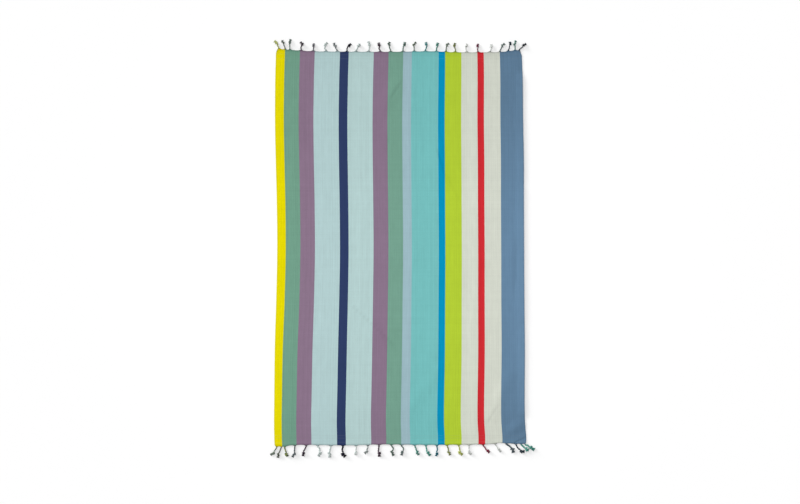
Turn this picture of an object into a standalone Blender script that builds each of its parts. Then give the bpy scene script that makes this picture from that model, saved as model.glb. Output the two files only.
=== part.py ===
"""Beach towel, lying open on a flat surface: a thin cotton sheet with a knotted fringe at both short ends.

Metres, +Z up. The towel's length runs along Y, its head end at +Y and its foot end at -Y, its face up.
Three solids: the sheet, and at each end a narrow strip of the sheet's edge with its row of knotted cords.
Places on the flat cloth are given in millimetres as across, from the left selvedge, and along, from the
head edge.
"""
import math

import bmesh
import bpy
from mathutils import Vector

MM = 0.001

CLOTH_WIDTH = 1000.0
CLOTH_LENGTH = 1590.0
CLOTH_THICKNESS = 1.4
PARTING_LINE = 783.0
PARTING_GAP = 0.3

CLOTH_COLUMNS = 40
CLOTH_ROWS = 60
ROW_CROWDING = 0.45

# How far the two selvedges lie from the middle line at each distance along the cloth from its head end.
# Columns: along, left, right.
SELVEDGE_TABLE = (
    (0.0, 502.0, 491.0),
    (34.0, 503.0, 492.0),
    (115.0, 505.0, 495.0),
    (277.0, 506.0, 498.0),
    (440.0, 503.0, 501.0),
    (600.0, 499.0, 501.0),
    (805.0, 497.0, 502.0),
    (1005.0, 501.0, 503.0),
    (1210.0, 507.0, 505.0),
    (1410.0, 509.0, 504.0),
    (1500.0, 510.0, 506.0),
    (1560.0, 509.0, 511.0),
    (1590.0, 508.0, 511.0),
)

# How far each end edge lies outside its straight line at each distance across the cloth.
# Columns: across, out.
HEAD_EDGE_TABLE = (
    (0.0, -6.0),
    (4.0, 4.0),
    (12.0, 9.5),
    (40.0, 7.0),
    (100.0, 3.0),
    (160.0, 0.0),
    (260.0, -1.5),
    (500.0, -2.0),
    (620.0, 0.0),
    (745.0, -4.0),
    (900.0, -3.5),
    (945.0, 0.0),
    (975.0, 4.0),
    (988.0, 3.0),
    (996.0, -3.0),
    (1000.0, -9.0),
)
FOOT_EDGE_TABLE = (
    (0.0, 3.5),
    (5.0, 7.5),
    (40.0, 8.5),
    (75.0, 3.5),
    (150.0, 2.5),
    (290.0, 4.5),
    (430.0, 0.5),
    (600.0, 2.5),
    (760.0, 1.5),
    (850.0, -0.5),
    (895.0, -5.5),
    (945.0, -2.5),
    (995.0, -2.5),
    (1000.0, -7.5),
)

# Low folds in the cloth, each a rounded ridge along a straight line between two places on the floor.
# Along the right selvedge only the ridge's inner half is cloth, so that the selvedge stands off the floor.
# Columns: name, start x, start y, end x, end y, width, height.
FOLD_TABLE = (
    ("corner_roll", 425.0, -765.0, 515.0, -690.0, 70.0, 3.5),
    ("foot_right", 462.0, -482.0, 348.0, -717.0, 84.0, 2.0),
    ("foot_middle", 170.0, -466.0, 40.0, -652.0, 90.0, 2.0),
    ("below_navy", -215.0, -245.0, -25.0, -402.0, 84.0, 2.8),
    ("by_blue", 135.0, 415.0, 195.0, 255.0, 80.0, 2.2),
    ("near_head", -90.0, 545.0, 20.0, 700.0, 90.0, 2.2),
    ("left_side", -418.0, 610.0, -400.0, 410.0, 80.0, 2.2),
    ("right_side", 455.0, 60.0, 440.0, -170.0, 90.0, 2.2),
    ("selvedge_upper", 503.0, 720.0, 503.0, 230.0, 80.0, 4.2),
    ("selvedge_middle", 505.0, 275.0, 508.0, -330.0, 96.0, 4.8),
    ("selvedge_lower", 508.0, -290.0, 509.0, -700.0, 84.0, 4.5),
)
FLAT_BORDER = 12.0
FOLD_RISE = 36.0

# The fringe: each cord leaves the edge at a place across the cloth, has a knot and ends in a tuft.
# The knot is placed sideways and outward from the root, the tip sideways and outward from the knot.
# Bow is how far the cord's middle lies sideways of a straight line, to the right where positive.
# Columns: across, knot side, knot out, tip side, tip out, bow.
HEAD_TASSELS = (
    (13.0, -12.0, 26.0, -8.0, 6.0, 0.0),
    (39.0, -11.0, 30.0, -2.0, 8.0, 0.0),
    (56.0, 0.0, 31.0, 4.0, 12.0, 0.0),
    (102.0, 5.0, 25.0, -8.0, 10.0, -3.0),
    (152.0, 1.0, 23.0, 1.0, 9.0, 0.0),
    (205.0, -4.0, 27.0, 7.0, 10.0, -5.0),
    (251.0, -11.0, 25.0, -5.0, 10.0, -1.0),
    (288.0, 10.0, 25.0, 8.0, 7.0, -4.0),
    (324.0, 13.0, 25.0, 2.0, 8.0, 0.0),
    (377.0, 3.0, 30.0, -5.0, 12.0, 1.0),
    (425.0, -5.0, 28.0, -3.0, 9.0, -3.0),
    (468.0, -8.0, 30.0, 3.0, 10.0, -1.0),
    (516.0, 7.0, 29.0, 2.0, 10.0, -2.0),
    (563.0, -1.0, 29.0, 8.0, 9.0, 0.0),
    (608.0, 4.0, 29.0, -2.0, 8.0, 2.0),
    (653.0, 4.0, 27.0, 2.0, 9.0, -1.0),
    (692.0, 4.0, 27.0, 8.0, 8.0, -1.0),
    (731.0, -5.0, 27.0, 4.0, 10.0, 2.0),
    (777.0, -2.0, 26.0, 2.0, 9.0, -3.0),
    (822.0, -1.0, 26.0, 1.0, 9.0, -1.0),
    (870.0, 6.0, 25.0, 0.0, 8.0, 2.0),
    (910.0, 11.0, 25.0, 10.0, 10.0, 0.0),
    (945.0, 9.0, 31.0, -2.0, 8.0, 1.0),
    (974.0, -2.0, 27.0, 4.0, 13.0, 1.0),
    (989.0, 19.0, 22.0, 10.0, 7.0, 0.0),
)
FOOT_TASSELS = (
    (10.0, -14.0, 28.0, -12.0, 8.0, 0.0),
    (28.0, -13.0, 34.0, -2.0, 12.0, 0.0),
    (39.0, 8.0, 32.0, 5.0, 9.0, 0.0),
    (81.0, -3.0, 38.0, -7.0, 11.0, 0.0),
    (128.0, -13.0, 34.0, -1.0, 12.0, -1.0),
    (170.0, 11.0, 34.0, -5.0, 13.0, 4.0),
    (225.0, -7.0, 35.0, 1.0, 15.0, -1.0),
    (272.0, 0.0, 36.0, 9.0, 11.0, -3.0),
    (325.0, -3.0, 31.0, 2.0, 9.0, 0.0),
    (371.0, -5.0, 28.0, -8.0, 8.0, 1.0),
    (415.0, 1.0, 36.0, 2.0, 14.0, -2.0),
    (463.0, 4.0, 33.0, 6.0, 13.0, 7.0),
    (503.0, 4.0, 32.0, -3.0, 12.0, 7.0),
    (556.0, 11.0, 31.0, 7.0, 10.0, 0.0),
    (600.0, 10.0, 32.0, 10.0, 11.0, -1.0),
    (645.0, 0.0, 36.0, -2.0, 10.0, 2.0),
    (685.0, 8.0, 31.0, 5.0, 11.0, 1.0),
    (732.0, 4.0, 32.0, 10.0, 10.0, 1.0),
    (772.0, 0.0, 30.0, 10.0, 10.0, 0.0),
    (826.0, 22.0, 27.0, 7.0, 6.0, -1.0),
    (875.0, 16.0, 25.0, 9.0, 9.0, 0.0),
    (918.0, 27.0, 24.0, 5.0, 15.0, 2.0),
    (957.0, 25.0, 31.0, 8.0, 1.0, -3.0),
    (979.0, 21.0, 24.0, 10.0, 3.0, -2.0),
    (994.0, 23.0, 18.0, 15.0, 10.0, -1.0),
)

ROOT_WIDTH = 14.0
ROOT_SPACING_SHARE = 0.8
STATION_CLEARANCE = 3.0

# A cord leaves the edge nearly straight out, to where its yarns are gathered.
GATHER_OUT = 5.0
GATHER_LEAN_SHARE = 0.12

PATH_POINT_NAMES = ("root", "gather", "middle", "knot", "tip")

# The sections of one cord. Each is placed from a point of its path, at a distance towards the tip.
# Columns: name, measured from, distance, width, height.
CORD_SECTIONS = (
    ("gather", "gather", 0.0, 6.0, 3.0),
    ("cord_start", "gather", 4.5, 4.4, 4.2),
    ("cord_middle", "middle", 0.0, 4.2, 4.2),
    ("cord_end", "knot", -5.2, 4.6, 4.6),
    ("knot_back", "knot", -2.6, 9.4, 7.6),
    ("knot_front", "knot", 2.0, 9.8, 7.6),
    ("neck", "knot", 4.6, 6.0, 5.0),
    ("tuft", "tip", -2.6, 9.0, 5.0),
    ("tip", "tip", 0.0, 7.0, 3.4),
)

# Half the length over which a cord's direction is read from its path.
DIRECTION_REACH = 0.5

CLOTH_COLOUR = (0.38, 0.56, 0.56)
FRINGE_COLOUR = (0.09, 0.16, 0.15)
COTTON_ROUGHNESS = 0.9


def clear_scene():
    for piece in list(bpy.data.objects):
        bpy.data.objects.remove(piece, do_unlink=True)


def curve_value(places, values, at):
    """The value at one place on a smooth curve through the values given at increasing places."""
    if at <= places[0]:
        return values[0]
    if at >= places[-1]:
        return values[-1]
    last = len(places) - 1
    slot = max(i for i in range(last) if places[i] <= at)

    def slope(i):
        before, after = max(i - 1, 0), min(i + 1, last)
        return (values[after] - values[before]) / (places[after] - places[before])

    span = places[slot + 1] - places[slot]
    f = (at - places[slot]) / span
    return (
        (2 * f**3 - 3 * f**2 + 1) * values[slot]
        + (f**3 - 2 * f**2 + f) * span * slope(slot)
        + (3 * f**2 - 2 * f**3) * values[slot + 1]
        + (f**3 - f**2) * span * slope(slot + 1)
    )


def table_value(table, column, at):
    return curve_value([row[0] for row in table], [row[column] for row in table], at)


def ease(f):
    """A soft step from 0 to 1."""
    f = min(max(f, 0.0), 1.0)
    return f * f * (3 - 2 * f)


def fold_height(x, y):
    """How high the folds lift the cloth at a place on the floor. It lies flat along both ends."""
    height = 0.0
    for _, start_x, start_y, end_x, end_y, width, crest in FOLD_TABLE:
        start = Vector((start_x, start_y))
        run = Vector((end_x, end_y)) - start
        length = run.length
        offset = Vector((x, y)) - start
        lengthwise = offset.dot(run) / length
        sideways = abs(offset.x * run.y - offset.y * run.x) / length
        fade = ease(lengthwise / FOLD_RISE) * ease((length - lengthwise) / FOLD_RISE)
        profile = ease(1 - sideways / (width / 2))
        height = max(height, crest * fade * profile)
    return height * ease((PARTING_LINE - abs(y) - FLAT_BORDER) / FOLD_RISE)


def cloth_point(across, y):
    """Where a place across the cloth lies on the floor, on the line at this distance from the middle."""
    along = CLOTH_LENGTH / 2 - y
    left = -table_value(SELVEDGE_TABLE, 1, along)
    right = table_value(SELVEDGE_TABLE, 2, along)
    x = left + (right - left) * across / CLOTH_WIDTH
    return Vector((x, y, fold_height(x, y)))


def edge_point(across, outward):
    """A place on the head edge, or on the foot edge where outward is -1."""
    table = HEAD_EDGE_TABLE if outward > 0 else FOOT_EDGE_TABLE
    return cloth_point(across, outward * (CLOTH_LENGTH / 2 + table_value(table, 1, across)))


def cotton_material(name, colour):
    material = bpy.data.materials.new(name)
    material.use_nodes = True
    shader = material.node_tree.nodes["Principled BSDF"]
    shader.inputs["Base Color"].default_value = (*colour, 1.0)
    shader.inputs["Roughness"].default_value = COTTON_ROUGHNESS
    shader.inputs["Metallic"].default_value = 0.0
    return material


def thicken_upward(bm, thickness):
    """Turns a flat sheet of faces into a closed slab whose underside is the sheet."""
    extruded = bmesh.ops.extrude_face_region(bm, geom=bm.faces[:])
    top = [item for item in extruded["geom"] if isinstance(item, bmesh.types.BMVert)]
    bmesh.ops.translate(bm, verts=top, vec=Vector((0, 0, thickness)))
    bmesh.ops.recalc_face_normals(bm, faces=bm.faces[:])


def finish_piece(name, bm, collection, material):
    """Scales the millimetre mesh to metres and makes it an object of its own."""
    bmesh.ops.scale(bm, vec=Vector((MM, MM, MM)), verts=bm.verts[:])
    mesh = bpy.data.meshes.new(name)
    bm.to_mesh(mesh)
    bm.free()
    mesh.materials.append(material)
    piece = bpy.data.objects.new(name, mesh)
    collection.objects.link(piece)
    return piece


def column_place(column):
    return CLOTH_WIDTH * column / CLOTH_COLUMNS


def row_line(row):
    """Rows lie closer together near both ends, where the outline turns."""
    f = row / CLOTH_ROWS
    crowded = f - ROW_CROWDING * math.sin(2 * math.pi * f) / (2 * math.pi)
    return (PARTING_LINE - PARTING_GAP / 2) * (1 - 2 * crowded)


def make_cloth(collection):
    bm = bmesh.new()
    bmesh.ops.create_grid(bm, x_segments=CLOTH_COLUMNS, y_segments=CLOTH_ROWS, size=0.5)
    for vert in bm.verts:
        column = round((vert.co.x + 0.5) * CLOTH_COLUMNS)
        row = round((0.5 - vert.co.y) * CLOTH_ROWS)
        vert.co = cloth_point(column_place(column), row_line(row))
    thicken_upward(bm, CLOTH_THICKNESS)
    return finish_piece("cloth", bm, collection, cotton_material("striped_cotton", CLOTH_COLOUR))


def root_edges(tassels):
    """The left and right limit of each cord's root on the edge, narrower where two roots are close."""
    places = [row[0] for row in tassels]
    edges = []
    for i, place in enumerate(places):
        before = place - places[i - 1] if i > 0 else 2 * place
        after = places[i + 1] - place if i + 1 < len(places) else 2 * (CLOTH_WIDTH - place)
        half = min(ROOT_WIDTH, ROOT_SPACING_SHARE * min(before, after)) / 2
        edges.append((place - half, place + half))
    return edges


def strip_stations(roots):
    """Places across the cloth where the strip is divided: at each root and evenly between them."""
    stations = [edge for root in roots for edge in root]
    for column in range(CLOTH_COLUMNS + 1):
        place = column_place(column)
        if all(place < a - STATION_CLEARANCE or place > b + STATION_CLEARANCE for a, b in roots):
            stations.append(place)
    stations.extend((0.0, CLOTH_WIDTH))
    return sorted(set(stations))


def cord_path(root, tassel, outward):
    """Distances and points of a cord's middle line on the floor: root, gather, middle, knot and tip."""
    _, knot_side, knot_out, tip_side, tip_out, bow = tassel
    knot = root + Vector((knot_side, outward * knot_out, 0))
    tip = knot + Vector((tip_side, outward * tip_out, 0))
    gather = root + Vector((GATHER_LEAN_SHARE * knot_side, outward * GATHER_OUT, 0))
    middle = (root + knot) / 2 + Vector((bow, 0, 0))
    points = (root, gather, middle, knot, tip)
    distances = [0.0]
    for a, b in zip(points, points[1:]):
        distances.append(distances[-1] + (b - a).length)
    return distances, points


def path_point(distances, points, at):
    return Vector((
        curve_value(distances, [p.x for p in points], at),
        curve_value(distances, [p.y for p in points], at),
        0.0,
    ))


def section_corners(distances, points, section):
    """The four corners of one section, standing on the floor across the cord."""
    _, measured_from, distance, width, height = section
    at = dict(zip(PATH_POINT_NAMES, distances))[measured_from] + distance
    ahead = path_point(distances, points, at + DIRECTION_REACH)
    behind = path_point(distances, points, at - DIRECTION_REACH)
    forward = (ahead - behind).normalized()
    sideways = Vector((forward.y, -forward.x, 0.0))
    centre = path_point(distances, points, at)
    up = Vector((0, 0, height))
    left, right = centre - sideways * width / 2, centre + sideways * width / 2
    return left, right, left + up, right + up


def extrude_cord(bm, face, root, tassel, outward):
    """Draws a cord out of one face of the strip, section by section."""
    distances, points = cord_path(root, tassel, outward)
    face_right = Vector((outward, 0, 0))
    corners = {}
    for vert in face.verts:
        on_right = (vert.co - root).dot(face_right) > 0
        on_top = vert.co.z > root.z + CLOTH_THICKNESS / 2
        corners[vert] = (1 if on_right else 0) + (2 if on_top else 0)
    for section in CORD_SECTIONS:
        new_places = section_corners(distances, points, section)
        old_places = {corner: vert.co.copy() for vert, corner in corners.items()}
        face = bmesh.ops.extrude_discrete_faces(bm, faces=[face])["faces"][0]
        corners = {
            vert: min(old_places, key=lambda corner: (old_places[corner] - vert.co).length)
            for vert in face.verts
        }
        for vert, corner in corners.items():
            vert.co = new_places[corner]


def outward_faces(bm, outward):
    """The faces of the strip that stand along its outer edge."""
    return [face for face in bm.faces if face.normal.y * outward > abs(face.normal.x) + abs(face.normal.z)]


def face_nearest(faces, place):
    return min(faces, key=lambda face: (face.calc_center_median() - place).length)


def make_fringe(name, collection, material, tassels, outward):
    """A narrow strip of the cloth's edge with its row of cords."""
    inner_line = outward * (PARTING_LINE + PARTING_GAP / 2)
    stations = strip_stations(root_edges(tassels))
    bm = bmesh.new()
    bmesh.ops.create_grid(bm, x_segments=len(stations) - 1, y_segments=1, size=0.5)
    for vert in bm.verts:
        place = stations[round((vert.co.x + 0.5) * (len(stations) - 1))]
        is_edge = vert.co.y * outward > 0
        vert.co = edge_point(place, outward) if is_edge else cloth_point(place, inner_line)
    thicken_upward(bm, CLOTH_THICKNESS)
    root_points = [edge_point(tassel[0], outward) for tassel in tassels]
    root_faces = [face_nearest(outward_faces(bm, outward), root) for root in root_points]
    for face, root, tassel in zip(root_faces, root_points, tassels):
        extrude_cord(bm, face, root, tassel, outward)
    bmesh.ops.recalc_face_normals(bm, faces=bm.faces[:])
    return finish_piece(name, bm, collection, material)


def centre_on_origin(pieces):
    """Stands the whole towel on the floor with the middle of its box over the origin."""
    xs = [vert.co.x for piece in pieces for vert in piece.data.vertices]
    ys = [vert.co.y for piece in pieces for vert in piece.data.vertices]
    middle = Vector(((min(xs) + max(xs)) / 2, (min(ys) + max(ys)) / 2, 0))
    for piece in pieces:
        piece.location = -middle


def build():
    clear_scene()
    collection = bpy.data.collections.new("beach_towel")
    bpy.context.scene.collection.children.link(collection)
    fringe_cotton = cotton_material("fringe_cotton", FRINGE_COLOUR)
    pieces = [
        make_cloth(collection),
        make_fringe("fringe_head", collection, fringe_cotton, HEAD_TASSELS, 1),
        make_fringe("fringe_foot", collection, fringe_cotton, FOOT_TASSELS, -1),
    ]
    centre_on_origin(pieces)


build()
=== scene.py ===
# %% [markdown]
# A striped beach towel with a knotted fringe.
#
# A flat-woven beach towel is one piece of cloth and nothing else. Its stripes are in the warp, the yarns
# that run its whole length, and its fringe is those same yarns, twisted and knotted past the last row of
# weft. This lesson lays such a towel on a pale floor and looks straight down at it.
#
# The exact solids come first, as a frame that stays as it is. Every piece made below lies where they lie.

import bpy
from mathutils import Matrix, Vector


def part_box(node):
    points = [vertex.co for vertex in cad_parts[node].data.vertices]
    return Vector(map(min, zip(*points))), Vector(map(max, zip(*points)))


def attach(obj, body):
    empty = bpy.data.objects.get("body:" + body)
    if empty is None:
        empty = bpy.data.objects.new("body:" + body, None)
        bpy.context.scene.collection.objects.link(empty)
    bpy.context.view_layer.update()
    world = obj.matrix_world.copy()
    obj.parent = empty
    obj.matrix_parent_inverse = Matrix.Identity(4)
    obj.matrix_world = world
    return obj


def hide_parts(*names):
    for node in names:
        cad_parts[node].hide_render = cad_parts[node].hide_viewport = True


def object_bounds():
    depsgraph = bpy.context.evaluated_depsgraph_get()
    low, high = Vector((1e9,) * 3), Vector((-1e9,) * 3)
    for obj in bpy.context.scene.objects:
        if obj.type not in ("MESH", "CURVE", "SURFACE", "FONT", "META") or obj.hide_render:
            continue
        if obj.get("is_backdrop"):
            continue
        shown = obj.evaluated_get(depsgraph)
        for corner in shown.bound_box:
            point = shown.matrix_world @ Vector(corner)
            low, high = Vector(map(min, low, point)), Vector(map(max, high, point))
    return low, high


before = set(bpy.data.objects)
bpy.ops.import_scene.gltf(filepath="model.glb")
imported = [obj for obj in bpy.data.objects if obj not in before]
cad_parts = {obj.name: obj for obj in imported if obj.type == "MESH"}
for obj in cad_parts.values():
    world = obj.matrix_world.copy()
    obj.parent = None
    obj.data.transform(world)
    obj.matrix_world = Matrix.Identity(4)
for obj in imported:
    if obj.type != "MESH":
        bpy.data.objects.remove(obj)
SOLID_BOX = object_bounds()
print("nodes:", sorted(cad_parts), "box:", [tuple(round(c, 4) for c in corner) for corner in SOLID_BOX])

# %% [markdown]
# Sizes are written in millimetres, as a weaver would write them, and turned into metres when a mesh is
# made. A place on the flat cloth is given as across, from the left selvedge, and along, from the head edge.
# The first tables say how the towel lies: how far its selvedges wander from a straight line, how uneven its
# two ends are, and where low folds lift it off the floor.

# %% The cloth and how it lies
import math
import random

import bpy
import numpy as np

MM = 0.001

CLOTH_WIDTH = 1000.0
CLOTH_LENGTH = 1590.0
CLOTH_THICKNESS = 1.2
STRIP_LINE = 783.0

# Columns: along, left, right, the two selvedges' distances from the middle line.
SELVEDGES = (
    (0, 502, 492), (34, 503, 494), (115, 505, 496.5), (277, 506, 498), (440, 503, 501), (600, 499, 501),
    (805, 497, 502), (1005, 501, 503), (1210, 507, 505), (1410, 509, 504), (1500, 510, 506), (1560, 509, 511),
    (1590, 508, 511),
)
# Columns: across, out, how far each end lies outside its straight line.
HEAD_EDGE = (
    (0, -6), (4, 4), (12, 9.5), (40, 7), (100, 3), (160, 0), (260, -1.5), (500, -2), (620, 0), (745, -4),
    (900, -3.5), (945, 0), (975, 4), (988, 3), (996, -3), (1000, -9),
)
FOOT_EDGE = (
    (0, 3.5), (5, 7.5), (40, 8.5), (75, 3.5), (150, 2.5), (290, 4.5), (430, 0.5), (600, 2.5), (760, 1.5),
    (850, -0.5), (895, -5.5), (945, -2.5), (995, -2.5), (1000, -7.5),
)
# Columns: name, start x, start y, end x, end y, width, height.
FOLDS = (
    ("corner_roll", 425, -765, 515, -690, 70, 2.5),
    ("foot_right", 462, -482, 348, -717, 84, 1.4),
    ("foot_middle", 170, -466, 40, -652, 90, 1.2),
    ("below_navy", -215, -245, -25, -402, 84, 2.0),
    ("by_blue", 135, 415, 195, 255, 80, 1.6),
    ("near_head", -90, 545, 20, 700, 90, 1.4),
    ("left_side", -418, 610, -400, 410, 80, 1.6),
    ("right_side", 455, 60, 440, -170, 90, 1.6),
    ("selvedge_upper", 503, 720, 503, 230, 80, 4.2),
    ("selvedge_middle", 505, 275, 508, -330, 96, 4.8),
    ("selvedge_lower", 508, -290, 509, -700, 84, 4.5),
)
FLAT_BORDER = 12.0
FOLD_RISE = 36.0
print("folds:", len(FOLDS), "highest", max(fold[-1] for fold in FOLDS), "mm")

# %% [markdown]
# The tables hold few rows, so the values between them are read from a smooth curve. It passes through every
# row and takes its slope there from the two rows beside it, which keeps a selvedge free of corners.

# %% Read smooth curves
def curve_through(places, values, at):
    """Reads a smooth curve through the values given at increasing places, at one place or at many."""
    places, values = np.asarray(places, float), np.asarray(values, float)
    last = len(places) - 1
    at = np.clip(np.asarray(at, float), places[0], places[-1])
    before = np.maximum(np.arange(last + 1) - 1, 0)
    after = np.minimum(np.arange(last + 1) + 1, last)
    slopes = (values[after] - values[before]) / (places[after] - places[before])
    slot = np.clip(np.searchsorted(places, at, side="right") - 1, 0, last - 1)
    span = places[slot + 1] - places[slot]
    f = (at - places[slot]) / span
    return (
        (2 * f**3 - 3 * f**2 + 1) * values[slot]
        + (f**3 - 2 * f**2 + f) * span * slopes[slot]
        + (3 * f**2 - 2 * f**3) * values[slot + 1]
        + (f**3 - f**2) * span * slopes[slot + 1]
    )


def read_table(table, column, at):
    return curve_through([row[0] for row in table], [row[column] for row in table], at)


def ease(f):
    """A soft step from 0 to 1."""
    f = np.clip(f, 0.0, 1.0)
    return f * f * (3 - 2 * f)


print("left selvedge at mid length:", round(float(read_table(SELVEDGES, 1, CLOTH_LENGTH / 2)), 1), "mm out")

# %% [markdown]
# Each fold is a rounded ridge along a straight line, faded at both ends. Cloth that has been folded in a
# drawer also keeps thin sharp creases, and it is never quite level between them. Both are far lower than
# the folds, yet they are what makes the sheet look like cloth and not like card.

# %% Place the flat cloth on the floor
CREASE_DEPTH = 0.5
CREASE_RISE = 20.0
# Columns: name, start x, start y, end x, end y, width, how sharp it is.
CREASES = (
    ("below_navy", -207, -222, -20, -398, 15, 1.5),
    ("by_blue", 146, 412, 190, 272, 14, 2.4),
    ("by_blue_tail", 184, 300, 246, 176, 13, 1.0),
    ("near_head", -45, 595, 12, 680, 18, 1.4),
    ("head_middle", -44, 493, -53, 360, 13, 0.6),
    ("left_side", -417, 546, -401, 412, 14, 0.9),
    ("foot_right", 352, -714, 401, -630, 15, 1.4),
    ("foot_middle", 50, -680, 100, -570, 15, 0.5),
    ("foot_corner", 446, -800, 534, -752, 13, 3.0),
)
# Columns: length of the wave, height, direction in degrees, start.
WAVES = (
    (310, 0.30, 24, 0.4), (205, 0.20, 118, 2.1), (133, 0.16, 71, 4.0), (87, 0.10, 160, 1.2),
    (61, 0.06, 38, 5.5),
)


def ridge(x, y, start_x, start_y, end_x, end_y, width, rise=FOLD_RISE):
    """How strongly a ridge shows at places on the floor, from 0 beside it to 1 along its crest."""
    length = math.hypot(end_x - start_x, end_y - start_y)
    run_x, run_y = (end_x - start_x) / length, (end_y - start_y) / length
    lengthwise = (x - start_x) * run_x + (y - start_y) * run_y
    sideways = np.abs((x - start_x) * run_y - (y - start_y) * run_x)
    falloff = ease(lengthwise / rise) * ease((length - lengthwise) / rise)
    return falloff * ease(1 - sideways / (width / 2))


def fold_height(x, y):
    """How high the folds lift the cloth's underside, in millimetres."""
    height = np.zeros_like(x)
    for name, start_x, start_y, end_x, end_y, width, crest in FOLDS:
        height = np.maximum(height, crest * ridge(x, y, start_x, start_y, end_x, end_y, width))
    return height * ease((STRIP_LINE - np.abs(y) - FLAT_BORDER) / FOLD_RISE)


def crease_strength(x, y):
    """How strongly a crease shows at places on the floor."""
    strength = np.zeros_like(x)
    for name, start_x, start_y, end_x, end_y, width, sharp in CREASES:
        line = ridge(x, y, start_x, start_y, end_x, end_y, width, CREASE_RISE)
        strength = np.maximum(strength, sharp * line)
    return strength


def unevenness(x, y):
    """Long low waves that never dip below the floor."""
    height = np.zeros_like(x)
    for length, rise, direction, start in WAVES:
        turn = math.radians(direction)
        run = x * math.cos(turn) + y * math.sin(turn)
        height += rise * (1 + np.sin(2 * math.pi * run / length + start)) / 2
    return height


def floor_x(across, y):
    """Where a place across the cloth lies sideways, on the line at this distance from the middle."""
    along = CLOTH_LENGTH / 2 - y
    left = -read_table(SELVEDGES, 1, along)
    right = read_table(SELVEDGES, 2, along)
    return left + (right - left) * across / CLOTH_WIDTH


# The tables are drawn round the middle of the cloth, and the frame round the middle of the whole towel.
ROWS_COMPARED = 400
cloth_low, cloth_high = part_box("cloth")
drawn_rows = np.linspace(-STRIP_LINE, STRIP_LINE, ROWS_COMPARED)
drawn_middle = (floor_x(0.0, drawn_rows).min() + floor_x(CLOTH_WIDTH, drawn_rows).max()) / 2
SHIFT = np.array([
    (cloth_low.x + cloth_high.x) / 2 / MM - drawn_middle,
    (cloth_low.y + cloth_high.y) / 2 / MM,
    0.0,
])


def in_metres(places):
    """Turns drawn places, in millimetres, into places in the frame, in metres."""
    return (np.asarray(places, float) + SHIFT) * MM


print("the drawing is moved by", np.round(SHIFT, 2), "mm")

# %% [markdown]
# The stripes don't keep an even distance from the selvedges. The warp has been tugged a few millimetres to
# the right at the head and to the left at the foot, most in the middle of the width, and the outermost
# stripe is pulled a little narrower towards the foot. Two soft bumps across the width are enough for that,
# each with its own strength along the length.

# %% Let the warp wander
# Columns: along, tug in the middle, tug beside the left selvedge, in millimetres to the right.
WARP_TUGS = (
    (0, 8.5, 0), (100, 6, 0), (300, 3, 0), (450, 1, 0), (1000, 0, -1), (1300, -1, -4), (1590, -6, -4.5),
)
TUG_SPREAD = 0.7
SIDE_TUG_PLACE = 60.0


def warp_place(across, along):
    """Which warp yarn lies at a place on the cloth, as its distance from the left selvedge on the loom."""
    in_middle = np.clip(np.sin(math.pi * across / CLOTH_WIDTH), 0, 1) ** TUG_SPREAD
    at_side = across / SIDE_TUG_PLACE * np.exp(1 - across / SIDE_TUG_PLACE)
    return across - read_table(WARP_TUGS, 1, along) * in_middle - read_table(WARP_TUGS, 2, along) * at_side


print("warp at the middle of the head:", np.round(warp_place(CLOTH_WIDTH / 2, 0.0), 1))

# %% [markdown]
# The fringe is a table too. Each cord has the place where it leaves the edge, its knot, its tip, and the
# two yarns that are twisted together in it. Yarn is dyed before it is woven, so the cords wear the colours
# of the stripes they come from. Their colours are painted far darker than the stripes, as painted shade for
# the light that sinks in between their fibres.

# %% The cords of the fringe
# Yarn colours with painted shade: far darker than the stripes they come from.
YARN_COLOURS_WITH_PAINTED_SHADE = {
    "straw": (186, 194, 112), "olive": (138, 144, 72), "moss": (104, 112, 92), "pine": (66, 86, 74),
    "fir": (98, 114, 106), "spruce": (68, 108, 98), "charcoal": (62, 66, 66), "soot": (38, 38, 44),
    "plum": (76, 58, 72), "aubergine": (58, 42, 54), "mist": (192, 202, 199), "haze": (168, 178, 176),
    "ink": (16, 14, 30), "teal": (82, 144, 132), "lagoon": (72, 142, 128), "deep_sea": (34, 98, 112),
    "pearl": (206, 209, 206), "pebble": (190, 193, 188), "maroon": (118, 28, 56), "slate": (92, 102, 106),
    "gunmetal": (48, 62, 70), "night": (34, 46, 56),
}
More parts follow.
